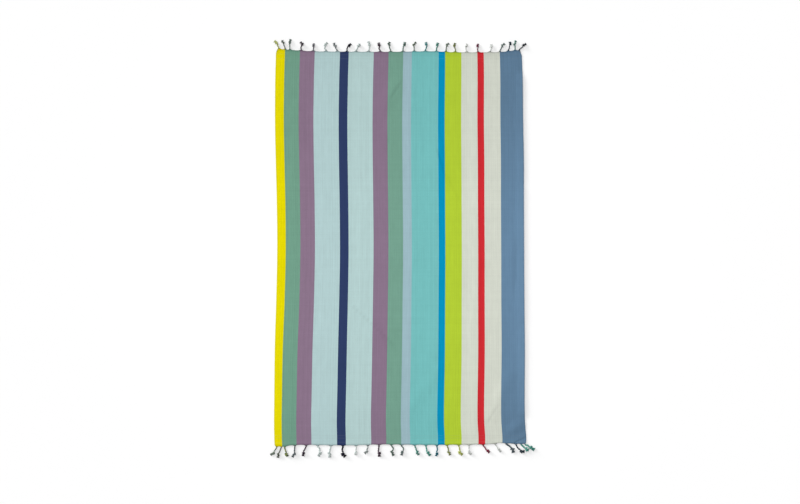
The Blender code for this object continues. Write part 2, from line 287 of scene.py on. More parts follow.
# Columns: across, knot side, knot out, tip side, tip out, bow, stoutness, first yarn, second yarn.
HEAD_CORDS = (
    (13, -12, 26, -8, 6, 0, 1.2, "straw", "olive"),
    (39, -11, 30, -2, 8, 0, 1.15, "moss", "slate"),
    (56, 0, 31, 4, 12, 0, 1.05, "fir", "fir"),
    (102, 5, 25, -8, 10, -3, 1.2, "charcoal", "plum"),
    (152, 1, 23, 1, 9, 0, 1.05, "plum", "slate"),
    (205, -4, 27, 7, 10, -5, 1.2, "mist", "haze"),
    (251, -11, 25, -5, 10, -1, 1.25, "haze", "ink"),
    (288, 10, 25, 8, 7, -4, 1.2, "ink", "ink"),
    (324, 13, 25, 2, 8, 0, 1.25, "haze", "mist"),
    (377, 3, 30, -5, 12, 1, 1.15, "mist", "haze"),
    (425, -5, 28, -3, 9, -3, 1.3, "aubergine", "aubergine"),
    (468, -8, 30, 3, 10, -1, 1.15, "fir", "pine"),
    (516, 7, 29, 2, 10, -2, 1.15, "fir", "spruce"),
    (563, -1, 29, 8, 9, 0, 1.1, "fir", "moss"),
    (608, 4, 29, -2, 8, 2, 1.2, "teal", "deep_sea"),
    (653, 4, 27, 2, 9, -1, 1.2, "lagoon", "spruce"),
    (692, 4, 27, 8, 8, -1, 1.15, "moss", "fir"),
    (731, -5, 27, 4, 10, 2, 1.1, "olive", "moss"),
    (777, -2, 26, 2, 9, -3, 1.0, "pearl", "pebble"),
    (822, -1, 26, 1, 9, -1, 1.1, "maroon", "plum"),
    (870, 6, 25, 0, 8, 2, 1.25, "pearl", "pearl"),
    (910, 11, 25, 10, 10, 0, 1.15, "slate", "fir"),
    (945, 9, 31, -2, 8, 1, 1.05, "night", "gunmetal"),
    (974, -2, 27, 4, 13, 1, 1.05, "teal", "fir"),
    (989, 19, 22, 10, 7, 0, 1.1, "soot", "night"),
)
FOOT_CORDS = (
    (10, -14, 28, -12, 8, 0, 1.15, "moss", "fir"),
    (28, -13, 34, -2, 12, 0, 1.25, "moss", "charcoal"),
    (39, 8, 32, 5, 9, 0, 1.35, "olive", "pine"),
    (81, -3, 38, -7, 11, 0, 1.3, "charcoal", "slate"),
    (128, -13, 34, -1, 12, -1, 1.35, "plum", "soot"),
    (170, 11, 34, -5, 13, 4, 1.45, "mist", "haze"),
    (225, -7, 35, 1, 15, -1, 1.5, "haze", "mist"),
    (272, 0, 36, 9, 11, -3, 1.7, "ink", "ink"),
    (325, -3, 31, 2, 9, 0, 1.35, "pearl", "mist"),
    (371, -5, 28, -8, 8, 1, 1.25, "mist", "charcoal"),
    (415, 1, 36, 2, 14, -2, 1.45, "plum", "aubergine"),
    (463, 4, 33, 6, 13, 7, 1.4, "pine", "fir"),
    (503, 4, 32, -3, 12, 7, 1.2, "fir", "slate"),
    (556, 11, 31, 7, 10, 0, 1.35, "spruce", "teal"),
    (600, 10, 32, 10, 11, -1, 1.4, "lagoon", "teal"),
    (645, 0, 36, -2, 10, 2, 1.3, "deep_sea", "deep_sea"),
    (685, 8, 31, 5, 11, 1, 1.35, "moss", "olive"),
    (732, 4, 32, 10, 10, 1, 1.4, "olive", "straw"),
    (772, 0, 30, 10, 10, 0, 1.2, "pearl", "pebble"),
    (826, 22, 27, 7, 6, -1, 1.3, "maroon", "maroon"),
    (875, 16, 25, 9, 9, 0, 1.05, "pebble", "pearl"),
    (918, 27, 24, 5, 15, 2, 1.7, "gunmetal", "slate"),
    (957, 24, 31, 13, 1, -4, 1.4, "night", "gunmetal"),
    (979, 22, 22, 10, 3, -2, 1.7, "teal", "lagoon"),
    (994, 25, 16, 15, 8, 1, 1.6, "lagoon", "teal"),
)
GATHER_OUT = 5.0
GATHER_LEAN_SHARE = 0.12
print("cords:", len(HEAD_CORDS), "at the head and", len(FOOT_CORDS), "at the foot")

# %% [markdown]
# Past the last weft the warp yarns are pulled together towards each cord. The pull also draws the cloth's
# edge out to a soft point at every root and lets it fall back between them, in shallow scallops. The
# outermost yarns are drawn sideways as well, which rounds the corners. And because the cords are thicker
# than the cloth, they hold its last centimetres just off the floor.

# %% Shape the two ends
SCALLOP_RISE = 1.5
SCALLOP_REACH = 11.0
SCALLOP_SHARPNESS = 1.7
EDGE_BLEND = 34.0
SCALLOP_BLEND = 9.0
EDGE_LIFT = 1.5
EDGE_LIFT_DEPTH = 26.0
CORNER_DEPTH = 16.0
CORNER_WIDTH = 26.0
# Columns: corner, across, along, how far it is drawn inwards.
CORNERS = (
    ("head_left", 0.0, 0.0, 0.5), ("head_right", CLOTH_WIDTH, 0.0, 3.0),
    ("foot_left", 0.0, CLOTH_LENGTH, 0.5), ("foot_right", CLOTH_WIDTH, CLOTH_LENGTH, 1.0),
)


def scallop(across, cords):
    """How far the pull of the cords draws the edge out, from 0 between two roots."""
    pull = np.zeros_like(across)
    for cord in cords:
        pull = np.maximum(pull, 1 - np.abs(across - cord[0]) / SCALLOP_REACH)
    return SCALLOP_RISE * np.clip(pull, 0, 1) ** SCALLOP_SHARPNESS


def end_shape(across, from_end, outward):
    """How far the cloth near one end lies outside its straight line."""
    table, cords = (HEAD_EDGE, HEAD_CORDS) if outward > 0 else (FOOT_EDGE, FOOT_CORDS)
    near = np.clip(1 - from_end / EDGE_BLEND, 0, 1) ** 2
    at_edge = np.clip(1 - from_end / SCALLOP_BLEND, 0, 1) ** 2
    return read_table(table, 1, across) * near + scallop(across, cords) * at_edge


def corner_pull(across, along):
    """How far the cloth near the corners is drawn sideways, towards the middle."""
    moved = np.zeros_like(across)
    for name, corner_across, corner_along, inwards in CORNERS:
        near_end = np.clip(1 - np.abs(along - corner_along) / CORNER_DEPTH, 0, 1) ** 2
        near_side = np.clip(1 - np.abs(across - corner_across) / CORNER_WIDTH, 0, 1) ** 2
        moved += near_end * near_side * inwards * (1 if corner_across == 0 else -1)
    return moved


def cloth_place(across, along):
    """Where places on the flat cloth lie on the floor, with the height of the cloth's underside."""
    head = end_shape(across, along, 1)
    foot = end_shape(across, CLOTH_LENGTH - along, -1)
    y = CLOTH_LENGTH / 2 - along + head - foot
    x = floor_x(across, y) + corner_pull(across, along)
    from_end = np.minimum(along, CLOTH_LENGTH - along)
    lift = EDGE_LIFT * np.clip(1 - from_end / EDGE_LIFT_DEPTH, 0, 1) ** 2
    height = fold_height(x, y) + unevenness(x, y) + lift - CREASE_DEPTH * crease_strength(x, y)
    return np.stack([x, y, np.maximum(height, 0.0)], axis=-1)


print("edge at the first root:", np.round(cloth_place(np.array([13.0]), np.array([0.0]))[0], 1))

# %% [markdown]
# A few helpers keep the operators tidy. An operator acts on whatever is selected, so every step starts by
# selecting one object and nothing else.

# %% Helpers for objects
def put_in_scene(name, data):
    """A new object that holds this data, linked into the scene."""
    item = bpy.data.objects.new(name, data)
    bpy.context.scene.collection.objects.link(item)
    return item


def select_only(*objects):
    bpy.ops.object.select_all(action="DESELECT")
    for item in objects:
        item.select_set(True)
    bpy.context.view_layer.objects.active = objects[0]


def read_places(mesh):
    places = np.zeros(len(mesh.vertices) * 3)
    mesh.vertices.foreach_get("co", places)
    return places.reshape(-1, 3)


def write_places(mesh, places):
    mesh.vertices.foreach_set("co", np.asarray(places, np.float32).ravel())
    mesh.update()


def triangles(piece):
    return sum(len(face.vertices) - 2 for face in piece.data.polygons)


def dress(piece, material):
    """Gives a piece this material and no other."""
    piece.data.materials.clear()
    piece.data.materials.append(material)


# %% [markdown]
# The sheet starts as a grid and each of its corners is moved to the place that the drawing gives it. A
# cloth simulation could settle it too, but the lie is known, and a towel this flat hardly moves. The rows
# are crowded towards both ends, where the outline turns most, and the columns towards the selvedges.

# %% Choose the columns and rows
SHEET_COLUMNS = 222
SHEET_ROWS = 196
END_CROWDING = 0.78
SELVEDGE_COLUMNS = (0.0, 1.1, 2.4)
INNER_START = 4.0


def crowded(count, crowding):
    """Shares from 0 to 1 that lie closer together near both ends."""
    f = np.arange(count + 1) / count
    return f - crowding * np.sin(2 * math.pi * f) / (2 * math.pi)


inner_count = SHEET_COLUMNS - 2 * len(SELVEDGE_COLUMNS) + 1
inner = np.linspace(INNER_START, CLOTH_WIDTH - INNER_START, inner_count)
column_places = np.concatenate([SELVEDGE_COLUMNS, inner, CLOTH_WIDTH - np.array(SELVEDGE_COLUMNS[::-1])])
row_places = CLOTH_LENGTH * crowded(SHEET_ROWS, END_CROWDING)
print("columns:", len(column_places), "rows:", len(row_places))
print("first row step:", round(row_places[1], 2), "mm")

# %% Lay the sheet
bpy.ops.object.select_all(action="DESELECT")
bpy.ops.mesh.primitive_grid_add(
    x_subdivisions=len(column_places) - 1, y_subdivisions=len(row_places) - 1, size=2, location=(0, 0, 0)
)
cloth = bpy.context.object
cloth.name = cloth.data.name = "towel_cloth"
grid = read_places(cloth.data)
column = np.rint((grid[:, 0] + 1) / 2 * (len(column_places) - 1)).astype(int)
row = np.rint((1 - grid[:, 1]) / 2 * (len(row_places) - 1)).astype(int)
across, along = column_places[column], row_places[row]
underside = cloth_place(across, along)
write_places(cloth.data, in_metres(underside))
print("sheet:", len(cloth.data.polygons), "faces")

# %% [markdown]
# The weave has to follow the cloth and not the floor, so the UV map holds the flat cloth itself: across and
# along, in metres. Every pattern below is then drawn at its real size. The sheet also remembers where its
# creases are, so that the material can paint them a shade darker, as painted shade in each crease.

# %% Map the flat cloth
crease_shade = cloth.data.attributes.new("crease_shade", "FLOAT", "POINT")
crease_shade.data.foreach_set("value", crease_strength(underside[:, 0], underside[:, 1]).astype(np.float32))
corner_vertex = np.zeros(len(cloth.data.loops), int)
cloth.data.loops.foreach_get("vertex_index", corner_vertex)
flat_places = np.stack([warp_place(across, along), along], axis=1)[corner_vertex] * MM
cloth.data.uv_layers[0].name = "flat_cloth"
cloth.data.uv_layers[0].data.foreach_set("uv", flat_places.astype(np.float32).ravel())
print("uv runs to", flat_places.max(axis=0))

# %% Give the sheet its thickness
SMOOTH_ANGLE = 50
thicken = cloth.modifiers.new("thickness", "SOLIDIFY")
thicken.thickness = CLOTH_THICKNESS * MM
thicken.offset = 1.0
thicken.use_even_offset = False
select_only(cloth)
bpy.ops.object.modifier_apply(modifier=thicken.name)
bpy.ops.object.shade_smooth_by_angle(angle=math.radians(SMOOTH_ANGLE))
print("cloth:", triangles(cloth), "triangles")

# %% [markdown]
# Weave is an effect that any cloth could use, so it is a node group. It takes a place on the flat cloth and
# the width of warp and weft yarns, and gives the height of the yarns and a different shade for each warp and
# each weft yarn. In plain weave the warp passes over the weft at every second crossing.

# %% Small tools for nodes
class Wiring:
    """Adds nodes to one tree and links them."""

    def __init__(self, tree):
        self.tree = tree

    def put(self, kind, **settings):
        node = self.tree.nodes.new(kind)
        for name, value in settings.items():
            setattr(node, name, value)
        return node

    def feed(self, socket, value):
        if isinstance(value, bpy.types.NodeSocket):
            self.tree.links.new(value, socket)
        else:
            socket.default_value = value

    def math(self, operation, a, b=0.0):
        node = self.put("ShaderNodeMath", operation=operation)
        self.feed(node.inputs[0], a)
        self.feed(node.inputs[1], b)
        return node.outputs[0]

    def mix(self, blend, factor, a, b):
        node = self.put("ShaderNodeMix", data_type="RGBA", blend_type=blend)
        self.feed(node.inputs["Factor"], factor)
        self.feed(node.inputs["A"], a)
        self.feed(node.inputs["B"], b)
        return node.outputs["Result"]

    def vector(self, x, y, z=0.0):
        node = self.put("ShaderNodeCombineXYZ")
        for socket, value in zip(node.inputs, (x, y, z)):
            self.feed(socket, value)
        return node.outputs[0]

    def noise(self, place, scale, detail):
        node = self.put("ShaderNodeTexNoise")
        self.feed(node.inputs["Vector"], place)
        node.inputs["Scale"].default_value = scale
        node.inputs["Detail"].default_value = detail
        return node.outputs["Fac"]

    def remap(self, value, low, high, out_low, out_high):
        node = self.put("ShaderNodeMapRange")
        self.feed(node.inputs["Value"], value)
        for name, number in zip(("From Min", "From Max", "To Min", "To Max"), (low, high, out_low, out_high)):
            node.inputs[name].default_value = number
        return node.outputs["Result"]


def node_group(name, takes, gives):
    """An empty node group with named sockets, its wiring, its inputs and its output node."""
    group = bpy.data.node_groups.new(name, "ShaderNodeTree")
    for kind, sockets in (("INPUT", takes), ("OUTPUT", gives)):
        for socket_name, socket_type in sockets:
            group.interface.new_socket(name=socket_name, in_out=kind, socket_type=socket_type)
    wiring = Wiring(group)
    return group, wiring, wiring.put("NodeGroupInput").outputs, wiring.put("NodeGroupOutput").inputs


def new_material(name):
    """A new material, with its wiring and its surface shader."""
    material = bpy.data.materials.new(name)
    material.use_nodes = True
    return material, Wiring(material.node_tree), material.node_tree.nodes["Principled BSDF"]


def cotton_surface(m, cotton, height, groove, crest, specular, sheen, bump_strength, bump_depth):
    """A dull soft surface, rougher in the grooves than on the crests, with the yarns raised as a bump."""
    m.feed(cotton.inputs["Roughness"], m.remap(height, 0, 1, groove, crest))
    cotton.inputs["Specular IOR Level"].default_value = specular
    cotton.inputs["Sheen Weight"].default_value = sheen
    cotton.inputs["Sheen Roughness"].default_value = 0.5
    bump = m.put("ShaderNodeBump")
    bump.inputs["Strength"].default_value = bump_strength
    bump.inputs["Distance"].default_value = bump_depth * MM
    m.feed(bump.inputs["Height"], height)
    m.feed(cotton.inputs["Normal"], bump.outputs["Normal"])


print("tools for nodes:", [tool.__name__ for tool in (Wiring, node_group, new_material, cotton_surface)])

# %% Build the plain weave
WARP_SINK = 0.35
weave, w, takes, gives = node_group(
    "plain_weave",
    (("Place", "NodeSocketVector"), ("Warp Width", "NodeSocketFloat"), ("Weft Width", "NodeSocketFloat")),
    (("Height", "NodeSocketFloat"), ("Warp Shade", "NodeSocketFloat"), ("Weft Shade", "NodeSocketFloat")),
)
place = w.put("ShaderNodeSeparateXYZ")
w.feed(place.inputs[0], takes["Place"])
warp_count = w.math("DIVIDE", place.outputs["X"], takes["Warp Width"])
weft_count = w.math("DIVIDE", place.outputs["Y"], takes["Weft Width"])
warp_number = w.math("FLOOR", warp_count)
weft_number = w.math("FLOOR", weft_count)
warp_round = w.math("SINE", w.math("MULTIPLY", w.math("FRACT", warp_count), math.pi))
weft_round = w.math("SINE", w.math("MULTIPLY", w.math("FRACT", weft_count), math.pi))
warp_over = w.math("MODULO", w.math("ADD", warp_number, weft_number), 2.0)
weft_over = w.math("SUBTRACT", 1.0, warp_over)
warp_swell = w.math("ADD", WARP_SINK, w.math("MULTIPLY", warp_over, weft_round))
warp_height = w.math("MULTIPLY", warp_round, warp_swell)
weft_height = w.math("MULTIPLY", weft_round, w.math("MULTIPLY", weft_over, warp_round))
w.feed(gives["Height"], w.math("MAXIMUM", warp_height, weft_height))
for shade, number, start in (("Warp Shade", warp_number, 3.7), ("Weft Shade", weft_number, 41.3)):
    one_yarn = w.put("ShaderNodeTexWhiteNoise", noise_dimensions="1D")
    w.feed(one_yarn.inputs["W"], w.math("ADD", number, start))
    w.feed(gives[shade], one_yarn.outputs["Value"])
print("node group:", weave.name, "with", len(weave.nodes), "nodes")

# %% [markdown]
# The stripes are a table of yarn colours and widths, in the order in which a warp would be wound. Colours
# are written as they look in daylight and turned into the linear values that a shader wants. A warp stripe
# changes colour from one yarn to the next with no blend. A long colour ramp would be too coarse for that,
# because it is kept as 256 steps, each 4 mm of this cloth. So the borders to the left of a place are
# counted first, and a ramp with one step for each stripe is read at that count.

# %% The stripes
# Columns: name, width in millimetres, colour as seen.
STRIPES = (
    ("yellow", 35, (229, 216, 0)),
    ("sage", 59, (113, 158, 137)),
    ("mauve", 59, (138, 115, 137)),
    ("pale_aqua", 101, (177, 204, 205)),
    ("navy", 35, (46, 60, 99)),
    ("pale_aqua", 101, (178, 205, 204)),
    ("mauve", 60, (136, 114, 136)),
    ("sage", 59.5, (115, 159, 141)),
    ("lavender", 35.5, (154, 183, 192)),
    ("turquoise", 109.5, (116, 188, 187)),
    ("bright_blue", 26.5, (0, 145, 190)),
    ("lime", 67, (176, 202, 53)),
    ("stone", 66, (210, 215, 202)),
    ("red", 26.5, (205, 43, 51)),
    ("stone", 67, (208, 212, 200)),
    ("steel_blue", 92.5, (101, 133, 161)),
)
LIGHT_GAIN = 1.10


def linear(colour, gain=1.0):
    """A colour as seen, from 0 to 255, as the linear colour for a shader under a light of this gain."""
    shares = [c / 255 for c in colour]
    flat = [s / 12.92 if s <= 0.04045 else ((s + 0.055) / 1.055) ** 2.4 for s in shares]
    return tuple(c / gain for c in flat) + (1.0,)


stripe_starts = np.cumsum([0] + [stripe[1] for stripe in STRIPES])
print("stripes:", len(STRIPES), "together", stripe_starts[-1], "mm wide")

# %% Dye the cloth
cloth_material, m, cotton = new_material("striped_cotton")
uv = m.put("ShaderNodeUVMap", uv_map="flat_cloth").outputs["UV"]
flat = m.put("ShaderNodeSeparateXYZ")
m.feed(flat.inputs[0], uv)
across_m, along_m = flat.outputs["X"], flat.outputs["Y"]

stripe_ramp = m.put("ShaderNodeValToRGB")
stripe_ramp.color_ramp.interpolation = "CONSTANT"
stops = stripe_ramp.color_ramp.elements
while len(stops) < len(STRIPES):
    stops.new(1.0)
for number, (stop, stripe) in enumerate(zip(stops, STRIPES)):
    stop.position = number / len(STRIPES)
    stop.color = linear(stripe[2], LIGHT_GAIN)
stripe_number = 0.5
for border in stripe_starts[1:-1]:
    stripe_number = m.math("ADD", stripe_number, m.math("GREATER_THAN", across_m, border * MM))
m.feed(stripe_ramp.inputs["Fac"], m.math("DIVIDE", stripe_number, len(STRIPES)))
print("ramp stops:", len(stops))

# %% [markdown]
# Yarn is never all one shade. Each warp yarn was dyed a little differently, thick places run along it
# for a hand's breadth, and each row of weft leaves a faint line. Wear adds paler and darker patches. Each of
# these only lightens or darkens the stripe colour by a few percent. The grooves between the yarns are painted
# a tenth darker and the sharpest crease a sixth, both as painted shade.

# %% Shade the yarns
YARN_WIDTH = 0.85
WEFT_WIDTH = 1.35
# Columns: darkest and lightest tone.
WARP_SHADES = (0.94, 1.06)
WEFT_SHADES = (0.985, 1.015)
GROOVE_PAINTED_SHADES = (0.90, 1.05)
# Painted shade in the creases: how strong the sharpest crease is, and how dark it is painted.
STRONGEST_CREASE_SHADE = 3.0
CREASE_SHADE_TONE = 0.835
NOISE_RANGE = (0.25, 0.75)
# Columns: name, waves a metre across and along, start, detail, darkest and lightest tone.
PATTERNS = (
    ("thick places", 330.0, 9.0, 0.0, 3.0, 0.955, 1.045),
    ("rows of weft", 5.0, 210.0, 3.0, 2.0, 0.985, 1.015),
    ("wear", 9.0, 6.0, 7.0, 3.0, 0.985, 1.015),
    ("mottle", 42.0, 27.0, 11.0, 2.0, 0.98, 1.02),
)
weave_node = m.put("ShaderNodeGroup", node_tree=weave)
m.feed(weave_node.inputs["Place"], uv)
weave_node.inputs["Warp Width"].default_value = YARN_WIDTH * MM
weave_node.inputs["Weft Width"].default_value = WEFT_WIDTH * MM

creases = m.put("ShaderNodeAttribute", attribute_name="crease_shade").outputs["Fac"]
tones = [
    m.remap(weave_node.outputs["Warp Shade"], 0, 1, *WARP_SHADES),
    m.remap(weave_node.outputs["Weft Shade"], 0, 1, *WEFT_SHADES),
    # Painted shade: the grooves between the yarns are painted darker.
    m.remap(weave_node.outputs["Height"], 0, 1, *GROOVE_PAINTED_SHADES),
    # Painted shade: each crease is painted darker.
    m.remap(creases, 0, STRONGEST_CREASE_SHADE, 1.0, CREASE_SHADE_TONE),
]
for name, across_waves, along_waves, begin, detail, darkest, lightest in PATTERNS:
    scaled_across = m.math("MULTIPLY", across_m, across_waves)
    place = m.vector(scaled_across, m.math("MULTIPLY", along_m, along_waves), begin)
    tones.append(m.remap(m.noise(place, 1.0, detail), *NOISE_RANGE, darkest, lightest))
tone = tones[0]
for other in tones[1:]:
    tone = m.math("MULTIPLY", tone, other)
print("tones multiplied:", len(tones))

# %% [markdown]
# Both ends of such a towel start with a heading, a band some 22 mm deep where the weft is beaten in more
# tightly, so that the cloth is a shade darker there. A few heavier rows of undyed weft run beside it. They
# show lighter on dark stripes and darker on pale ones. The selvedges are a few doubled yarns, darker too.
# The tones along the length also hold painted shade: the cloth is painted darker from the middle of its
# length towards both ends, a painted falloff of the light, and far darker along each cut edge.

# %% Mark the headings and selvedges
# Headings, and painted shade: darker from the middle towards both ends and far darker at each cut edge.
# Columns: along in millimetres, tone.
HEADING_AND_PAINTED_SHADE_TONES = (
    (0.0, 0.66), (2.2, 0.88), (4.5, 0.935), (22.0, 0.94), (30.0, 0.957), (260.0, 0.968), (600.0, 0.995),
    (800.0, 1.0), (1150.0, 1.0), (1450.0, 0.982), (1553.0, 0.962), (1586.0, 0.955), (1588.0, 0.86),
    (1590.0, 0.62),
)
# Columns: across in millimetres, tone.
SIDE_TONES = ((0.0, 0.84), (1.8, 0.93), (3.6, 1.0), (996.2, 1.0), (998.0, 0.88), (1000.0, 0.74))
WEFT_LINES = (13.0, 29.5, 1555.5, 1565.5, 1580.0)
WEFT_LINE_WIDTH = 1.9
WEFT_LINE_SHARE = 0.09
WEFT_COLOUR = (150, 150, 146)


def tone_ramp(table, at, full):
    """A grey colour ramp through a table of tones, read at a place in metres."""
    ramp = m.put("ShaderNodeValToRGB")
    tones_along = ramp.color_ramp.elements
    while len(tones_along) < len(table):
        tones_along.new(1.0)
    for stop, (where, grey) in zip(tones_along, table):
        stop.position = where / full
        stop.color = (grey, grey, grey, 1.0)
    m.feed(ramp.inputs["Fac"], m.math("DIVIDE", at, full * MM))
    return ramp.outputs["Color"]


# Painted shade along the length, with the headings.
tone = m.math("MULTIPLY", tone, tone_ramp(HEADING_AND_PAINTED_SHADE_TONES, along_m, CLOTH_LENGTH))
tone = m.math("MULTIPLY", tone, tone_ramp(SIDE_TONES, across_m, CLOTH_WIDTH))
weft_line = 0.0
for line_along in WEFT_LINES:
    nearness = m.math("ABSOLUTE", m.math("SUBTRACT", along_m, line_along * MM))
    weft_line = m.math("ADD", weft_line, m.math("LESS_THAN", nearness, WEFT_LINE_WIDTH / 2 * MM))
print("heavy rows of weft:", len(WEFT_LINES))

# %% [markdown]
# The steel-blue stripe is painted paler in the middle of its length and darker towards both ends, a painted
# falloff of the light along it. All these tones come together in the colour of the cloth.

# %% Put the colour together
# Columns: along in millimetres, tone.
STEEL_PAINTED_FALLOFF_TONES = (
    (0.0, 0.86), (260.0, 0.865), (430.0, 0.92), (700.0, 1.0), (1000.0, 1.0), (1300.0, 0.97), (1480.0, 0.88),
    (1590.0, 0.86),
)
# Painted light: the steel-blue stripe is painted darker towards both ends.
in_steel_stripe = m.math("GREATER_THAN", across_m, stripe_starts[-2] * MM)
falloff = m.math("SUBTRACT", 1.0, tone_ramp(STEEL_PAINTED_FALLOFF_TONES, along_m, CLOTH_LENGTH))
tone = m.math("MULTIPLY", tone, m.math("SUBTRACT", 1.0, m.math("MULTIPLY", in_steel_stripe, falloff)))
dyed = m.mix("MIX", m.math("MULTIPLY", weft_line, WEFT_LINE_SHARE), stripe_ramp.outputs["Color"],
             linear(WEFT_COLOUR, LIGHT_GAIN))
m.feed(cotton.inputs["Base Color"], m.mix("MULTIPLY", 1.0, dyed, m.vector(tone, tone, tone)))

# %% Roughness and the feel of the weave
cotton_surface(
    m, cotton, weave_node.outputs["Height"], groove=0.96, crest=0.84, specular=0.05, sheen=0.015,
    bump_strength=0.7, bump_depth=0.16,
)
dress(cloth, cloth_material)
print("material:", cloth_material.name)

# %% [markdown]
# Now the fringe. Each cord ends in an overhand knot, and an overhand knot is hard to draw by hand. It is
# easier to tie one. A string of beads is laid along a loose loop that crosses itself three times, its two
# ends are pulled apart a little at a time, and beads of different turns push each other away when they come
# closer than the cord is wide. The knot then closes up by itself, as it does between two hands.

# %% Tie an overhand knot
KNOT_CORD = 3.5
BEAD_STEP = 0.9
TYING_LEAD = 9.0
TYING_ROUNDS = 1900
PULL_STEP = 0.02
TAUT = 1.1
LOOP_TURN = 2.15
LOOP_POINTS = 400
LOOP_SIZE = 0.62
LOOP_HEIGHT = 0.12
STIFFNESS = 0.12
PUSH_SHARE = 0.8
TURN_REACH = 1.6
BODY_REACH = 1.2
TINY = 1e-9


def respace(points, step):
    """The same line with its points a set distance apart."""
    lengths = np.linalg.norm(np.diff(points, axis=0), axis=1)
    along_line = np.concatenate([[0.0], np.cumsum(lengths)])
    at = np.linspace(0, along_line[-1], int(round(along_line[-1] / step)) + 1)
    return np.stack([np.interp(at, along_line, points[:, k]) for k in range(3)], axis=1)


def loose_overhand():
    """A loose overhand loop, with its two ends running out along X."""
    t = np.linspace(-LOOP_TURN, LOOP_TURN, LOOP_POINTS)
    loop = np.stack([t**3 - 3 * t, t**4 - 4 * t**2, LOOP_HEIGHT * (t**5 - 10 * t)], axis=1)
    loop[:, 1] -= loop[0, 1]
    loop *= LOOP_SIZE * KNOT_CORD
    lead = np.array([TYING_LEAD, 0.0, 0.0])
    return respace(np.concatenate([[loop[0] - lead], loop, [loop[-1] + lead]]), BEAD_STEP)


def keep_spacing(beads):
    """Pulls each pair of neighbours back to its distance, every second pair at a time."""
    for first in (0, 1):
        a = np.arange(first, len(beads) - 1, 2)
        gap = beads[a + 1] - beads[a]
        length = np.linalg.norm(gap, axis=1, keepdims=True)
        move = gap * (length - BEAD_STEP) / np.maximum(length, TINY) / 2
        beads[a] += move
        beads[a + 1] -= move


def push_apart(beads, a, b):
    """Moves beads of different turns away from each other where they are closer than the cord is wide."""
    gap = beads[b] - beads[a]
    length = np.linalg.norm(gap, axis=1)
    close = length < KNOT_CORD
    push = gap[close] * ((KNOT_CORD - length[close]) / np.maximum(length[close], TINY) / 2)[:, None]
    total, count = np.zeros_like(beads), np.zeros(len(beads))
    for index, way in ((a[close], -1), (b[close], 1)):
        np.add.at(total, index, way * push)
        np.add.at(count, index, 1)
    beads += PUSH_SHARE * total / np.maximum(count, 1)[:, None]


def knot_body(line):
    """The part of a knotted line that is the knot itself."""
    return line[np.abs(line[:, 0]) < BODY_REACH * KNOT_CORD]


def tie_knot():
    """The middle line of a tight overhand knot along X, in millimetres, with its body round the origin."""
    beads = loose_overhand()
    reach = beads[-1, 0]
    a, b = np.triu_indices(len(beads), k=math.ceil(TURN_REACH * KNOT_CORD / BEAD_STEP))
    for turn in range(TYING_ROUNDS):
        stretch = np.linalg.norm(np.diff(beads, axis=0), axis=1).mean() / BEAD_STEP
        reach += PULL_STEP if stretch < TAUT else 0.0
        beads[1:-1] += STIFFNESS * ((beads[:-2] + beads[2:]) / 2 - beads[1:-1])
        for _ in range(3):
            keep_spacing(beads)
            beads[0, 0], beads[-1, 0] = -reach, reach
        for _ in range(2):
            push_apart(beads, a, b)
    body = knot_body(beads)
    return beads - (body.min(axis=0) + body.max(axis=0)) / 2


knot_line = tie_knot()
print("knot:", len(knot_line), "beads, its body",
      np.round(np.ptp(knot_body(knot_line), axis=0) + KNOT_CORD, 1), "mm")

# %% [markdown]
# The cord is two plies wound round each other. A ply's line is the cord's line, pushed sideways by half a
# cord and turned as it goes. Sideways has to be a direction that follows the line without spinning, so it
# is carried from point to point and made square to the line at each.

# %% Twist two plies
TWIST_PITCH = 12.5
PLY_OFFSET = 1.02
PLY_THICKNESS = 2.3


def carried_sides(line):
    """At each point of a line, two directions square to it that don't spin round it."""
    forward = np.gradient(line, axis=0)
    forward /= np.linalg.norm(forward, axis=1, keepdims=True)
    side = np.zeros_like(line)
    carried = np.array([1.0, 0.0, 0.0])
    for k, ahead in enumerate(forward):
        carried = carried - ahead * carried.dot(ahead)
        carried = carried / np.linalg.norm(carried)
        side[k] = carried
    return side, np.cross(forward, side)


def ply_line(line, phase, offset):
    """The line of one ply of a cord that follows this line."""
    side, other = carried_sides(line)
    lengths = np.linalg.norm(np.diff(line, axis=0), axis=1)
    turn = phase + 2 * math.pi * np.concatenate([[0.0], np.cumsum(lengths)]) / TWIST_PITCH
    return line + offset[:, None] * (np.cos(turn)[:, None] * side + np.sin(turn)[:, None] * other)


print("plies: one turn every", TWIST_PITCH, "mm")

# %% [markdown]
# Yarns are curve objects: a list of points with a round bevel. They are made meshes at once, because a mesh
# can be bent and can carry a colour for each yarn. The bevel's own UV map runs from 0 to 1, so it is scaled
# to millimetres along the yarn. The fibres' twist can then be drawn at its real size.

# %% Make yarns from lines
WELD_DISTANCE = 0.01


